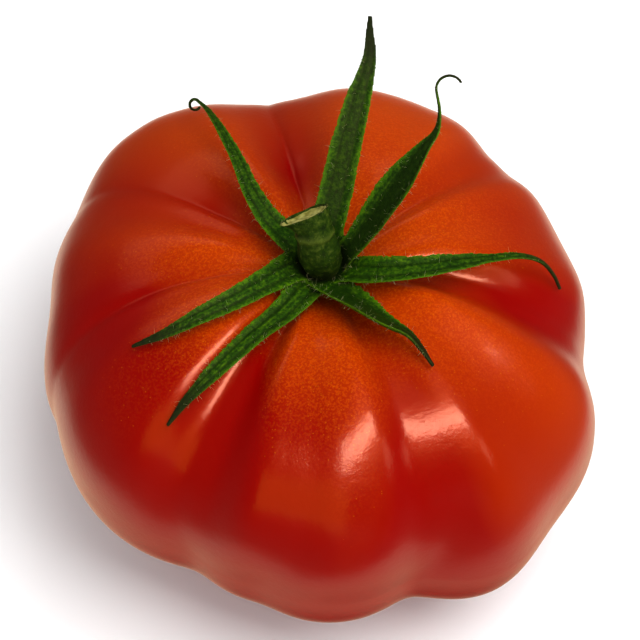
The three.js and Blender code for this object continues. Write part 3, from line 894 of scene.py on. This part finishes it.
def add_hair(bm, root, direction, length):
    """One hair: a three-sided spike standing on its root."""
    turn = Vector((0, 0, 1)).rotation_difference(direction).to_matrix().to_4x4()
    place = Matrix.Translation(root + direction * length * 0.45) @ turn
    bmesh.ops.create_cone(
        bm, cap_ends=True, cap_tris=True, segments=3, radius1=HAIR_THICKNESS / 2,
        radius2=HAIR_THICKNESS / 8, depth=length, matrix=place)


def hairs_on(bm, piece, count, lengths, draw, wanted):
    """Hairs on a finished piece, at random points of it that wanted(vertex index) lets through."""
    mesh = piece.data
    for _ in range(count * TRIES_PER_HAIR):
        if count <= 0:
            return
        i = draw.randrange(len(mesh.vertices))
        if draw.random() > wanted(i):
            continue
        vert = mesh.vertices[i]
        lean = Vector((draw.gauss(0, 1), draw.gauss(0, 1), draw.gauss(0, 1))) * HAIR_LEAN
        direction = (vert.normal + lean).normalized()
        add_hair(bm, vert.co, direction, draw.uniform(*lengths))
        count -= 1


class TomatoFruit(bpy.types.PropertyGroup):
    fruit_sides: IntProperty(
        name="Sides", description="Divisions round the fruit", default=400, min=90, max=440)
    deep_red: FloatVectorProperty(
        name="Deep red", description="Colour of the ripest skin", subtype="COLOR",
        default=srgb("#840000"), min=0, max=1)
    shoulder: FloatVectorProperty(
        name="Shoulder", description="Orange-red of the sunlit shoulders", subtype="COLOR",
        default=srgb("#bc4000"), min=0, max=1)
    speck: FloatVectorProperty(
        name="Specks", description="Golden cork specks in the skin", subtype="COLOR",
        default=srgb("#c06400"), min=0, max=1)
    speck_spacing: FloatProperty(
        name="Speck spacing", description="Distance between specks", default=0.0004, min=0.00005,
        unit="LENGTH")
    # Orange of the grain near the stem, partly the skin's own colour and partly painted sheen on
    # the grain's fine relief.
    powder_and_sheen: FloatVectorProperty(
        name="Powder", description="Orange grain of the skin near the stem", subtype="COLOR",
        default=srgb("#c84a00"), min=0, max=1)
    grain: FloatProperty(
        name="Grain", description="Size of the skin's finest grain", default=0.0004, min=0.00005,
        unit="LENGTH")


class TomatoGreens(bpy.types.PropertyGroup):
    leaf: FloatVectorProperty(
        name="Leaf", description="Green of the sepals", subtype="COLOR",
        default=srgb("#204800"), min=0, max=1)
    # Dark green of the leaf's mottle, and the colour of the painted shade in grooves, gutters and
    # the pit round the stem.
    leaf_dark_and_shade: FloatVectorProperty(
        name="Grooves", description="Dark green of grooves", subtype="COLOR",
        default=srgb("#082000"), min=0, max=1)
    leaf_light: FloatVectorProperty(
        name="Rims", description="Light green of ribs and rims", subtype="COLOR",
        default=srgb("#4a7000"), min=0, max=1)
    leaf_tip: FloatVectorProperty(
        name="Tips", description="Blackish green of dry tips", subtype="COLOR",
        default=srgb("#141a0a"), min=0, max=1)
    stem: FloatVectorProperty(
        name="Stem", description="Olive green of the stem", subtype="COLOR",
        default=srgb("#1c3400"), min=0, max=1)
    stem_dark: FloatVectorProperty(
        name="Stem hollows", description="Dark green between the stem's ribs", subtype="COLOR",
        default=srgb("#0a2002"), min=0, max=1)
    stem_light: FloatVectorProperty(
        name="Stem fuzz", description="Light green of the stem's fuzz", subtype="COLOR",
        default=srgb("#4a5816"), min=0, max=1)
    pith: FloatVectorProperty(
        name="Pith", description="Straw colour of the dry cut", subtype="COLOR",
        default=srgb("#b4ae60"), min=0, max=1)
    hair: FloatVectorProperty(
        name="Hair", description="Colour of the fine hairs", subtype="COLOR",
        default=srgb("#98a068"), min=0, max=1)
    hair_count: IntProperty(
        name="Hairs", description="Number of fine hairs on the calyx", default=1000, min=0,
        max=6000)
    stem_hair_count: IntProperty(
        name="Stem hairs", description="Number of fine hairs on the stem stub", default=160, min=0,
        max=1000)
    voxel: FloatProperty(
        name="Fineness", description="Grain of the grown-together calyx", default=0.00018,
        unit="LENGTH")


class TomatoStage(bpy.types.PropertyGroup):
    floor: FloatVectorProperty(
        name="Floor", description="Colour of the floor", subtype="COLOR",
        default=(0.95, 0.95, 0.95), min=0, max=1)


class TOMATO_OT_fruit(bpy.types.Operator):
    """Build the lobed fruit with its stem hollow and blossom scar"""

    bl_idname = "tomato.fruit"
    bl_label = "Fruit"

    def execute(self, context):
        settings = context.scene.tomato_fruit
        piece = object_from(fruit_mesh(settings), "fruit_skin", tomato_skin(settings))
        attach(piece, "root")
        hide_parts("fruit")
        return {"FINISHED"}


class TOMATO_OT_calyx(bpy.types.Operator):
    """Grow the seven sepals and the crown that joins them"""

    bl_idname = "tomato.calyx"
    bl_label = "Calyx"

    def execute(self, context):
        settings = context.scene.tomato_greens
        bm = bmesh.new()
        add_crown(bm)
        for seed, sepal in enumerate(SEPALS.values()):
            add_sepal(bm, sepal, seed * 13.7)
        bmesh.ops.recalc_face_normals(bm, faces=bm.faces)
        piece = fused(bm, "sepals", leaf_tissue(settings), settings.voxel)
        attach(piece, "root")
        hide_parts("calyx")
        return {"FINISHED"}


class TOMATO_OT_stem(bpy.types.Operator):
    """Draw out the stem stub to its slanting cut"""

    bl_idname = "tomato.stem"
    bl_label = "Stem stub"

    def execute(self, context):
        bm = stub_mesh()
        bmesh.ops.recalc_face_normals(bm, faces=bm.faces)
        piece = object_from(bm, "stem", stem_tissue(context.scene.tomato_greens))
        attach(piece, "root")
        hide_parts("stem_stub")
        return {"FINISHED"}


class TOMATO_OT_hairs(bpy.types.Operator):
    """Set the fine pale hairs on the sepals and the stem stub"""

    bl_idname = "tomato.hairs"
    bl_label = "Fine hairs"

    def execute(self, context):
        settings = context.scene.tomato_greens
        draw = random.Random(HAIR_SEED)
        bm = bmesh.new()
        sepals = bpy.data.objects["sepals"]
        across = sepals.data.attributes["across"].data
        along = sepals.data.attributes["along"].data

        def on_edge(i):
            return (0.05 + 0.95 * abs(across[i].value) ** 6) * (along[i].value < BARE_TIP_FROM)

        stem = bpy.data.objects["stem"]
        hairs_on(bm, sepals, settings.hair_count, SEPAL_HAIR_LENGTHS, draw, on_edge)
        hairs_on(bm, stem, settings.stem_hair_count, STEM_HAIR_LENGTHS, draw, lambda i: 1.0)
        piece = object_from(bm, "fine_hairs", plant_hair(settings))
        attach(piece, "root")
        return {"FINISHED"}


def aimed(name, data, place, target):
    """An object of a lamp or camera at a place in metres, looking at a target."""
    thing = bpy.data.objects.new(name, data)
    thing.matrix_world = (
        Matrix.Translation(place) @ (place - target).to_track_quat("Z", "Y").to_matrix().to_4x4())
    bpy.context.scene.collection.objects.link(thing)
    return thing


def from_sky(target, azimuth, elevation, distance):
    around, height = math.radians(azimuth), math.radians(elevation)
    return target + distance * Vector((
        math.cos(height) * math.cos(around), math.cos(height) * math.sin(around), math.sin(height)))


def softbox(name, azimuth, elevation, distance, width, height, watts, colour, seen):
    """An area lamp facing the tomato. One that is seen makes highlights, another lights evenly."""
    lamp = bpy.data.lights.new(name, "AREA")
    lamp.shape = "RECTANGLE"
    lamp.size, lamp.size_y = width, height
    lamp.energy = watts
    lamp.color = colour
    place = from_sky(SOFTBOX_TARGET, azimuth, elevation, distance)
    thing = aimed(name, lamp, place, SOFTBOX_TARGET)
    thing.visible_glossy = seen
    thing.visible_diffuse = not seen


def studio_air():
    """Pale surroundings: white to the eye, dim overhead and bright low down to the gloss."""
    world = bpy.data.worlds.new("studio_air")
    world.use_nodes = True
    tree = world.node_tree
    tree.nodes.clear()
    rays = add_node(tree, "ShaderNodeLightPath")
    around = add_node(tree, "ShaderNodeTexCoord").outputs["Generated"]
    height = add_node(tree, "ShaderNodeSeparateXYZ", {"Vector": around}).outputs["Z"]
    upwards = add_node(tree, "ShaderNodeMapRange", {"Value": height, "From Min": -1.0})
    sky = add_node(
        tree, "ShaderNodeValToRGB", {"Fac": upwards.outputs["Result"]}, GLOSS_SURROUNDINGS)
    lit = add_node(tree, "ShaderNodeMix", {
        MIX_FACTOR: rays.outputs["Is Glossy Ray"], MIX_A: grey(AIR_GREY),
        MIX_B: sky.outputs["Color"]}, data_type="RGBA")
    seen = add_node(tree, "ShaderNodeMix", {
        MIX_FACTOR: rays.outputs["Is Camera Ray"], MIX_A: lit.outputs[MIX_RESULT],
        MIX_B: grey(BACKGROUND_GREY)}, data_type="RGBA")
    air = add_node(tree, "ShaderNodeBackground", {
        "Color": seen.outputs[MIX_RESULT], "Strength": 1.0})
    add_node(tree, "ShaderNodeOutputWorld", {"Surface": air.outputs["Background"]})
    bpy.context.scene.world = world


class TOMATO_OT_stage(bpy.types.Operator):
    """Set the camera, the pale floor and the softboxes"""

    bl_idname = "tomato.stage"
    bl_label = "Stage"

    def execute(self, context):
        scene = context.scene
        aim = to_frame(CAMERA_AIM_FROM_AXIS)
        camera = bpy.data.cameras.new("camera")
        camera.sensor_width = SENSOR_WIDTH
        camera.lens = CAMERA_DISTANCE / MM_PER_PIXEL * SENSOR_WIDTH / IMAGE_SIDE
        camera.clip_start, camera.clip_end = 0.01, 20.0
        eye = from_sky(aim, -90, CAMERA_ELEVATION, CAMERA_DISTANCE * MM)
        scene.camera = aimed("camera", camera, eye, aim)

        bm = bmesh.new()
        bmesh.ops.create_grid(bm, x_segments=2, y_segments=2, size=3.0)
        bmesh.ops.translate(bm, verts=bm.verts, vec=(0, 0, CAD_BOX[0][2]))
        floor = object_from(bm, "floor", white_card(scene.tomato_stage))
        floor.visible_glossy = False

        for row in SOFTBOXES:
            softbox(*row)
        studio_air()
        scene.view_settings.view_transform = "Standard"
        return {"FINISHED"}


class TOMATO_PT_panel(bpy.types.Panel):
    """Tomato pieces in the order in which they are built"""

    bl_label = "Tomato"
    bl_idname = "TOMATO_PT_panel"
    bl_space_type = "VIEW_3D"
    bl_region_type = "UI"
    bl_category = "Tomato"

    def draw(self, context):
        for operator in OPERATORS:
            self.layout.operator(operator.bl_idname)
        for group in ("tomato_fruit", "tomato_greens", "tomato_stage"):
            settings = getattr(context.scene, group)
            for name in settings.bl_rna.properties.keys():
                if name not in ("rna_type", "name"):
                    self.layout.prop(settings, name)


OPERATORS = (TOMATO_OT_stage, TOMATO_OT_fruit, TOMATO_OT_calyx, TOMATO_OT_stem, TOMATO_OT_hairs)
CLASSES = (TomatoFruit, TomatoGreens, TomatoStage, *OPERATORS, TOMATO_PT_panel)


def register():
    for cls in CLASSES:
        bpy.utils.register_class(cls)
    bpy.types.Scene.tomato_fruit = PointerProperty(type=TomatoFruit)
    bpy.types.Scene.tomato_greens = PointerProperty(type=TomatoGreens)
    bpy.types.Scene.tomato_stage = PointerProperty(type=TomatoStage)


def unregister():
    del bpy.types.Scene.tomato_stage
    del bpy.types.Scene.tomato_greens
    del bpy.types.Scene.tomato_fruit
    for cls in reversed(CLASSES):
        bpy.utils.unregister_class(cls)


def main():
    register()
    bpy.ops.tomato.stage()
    bpy.ops.tomato.fruit()
    bpy.ops.tomato.calyx()
    bpy.ops.tomato.stem()
    bpy.ops.tomato.hairs()


if __name__ == "__main__":
    main()
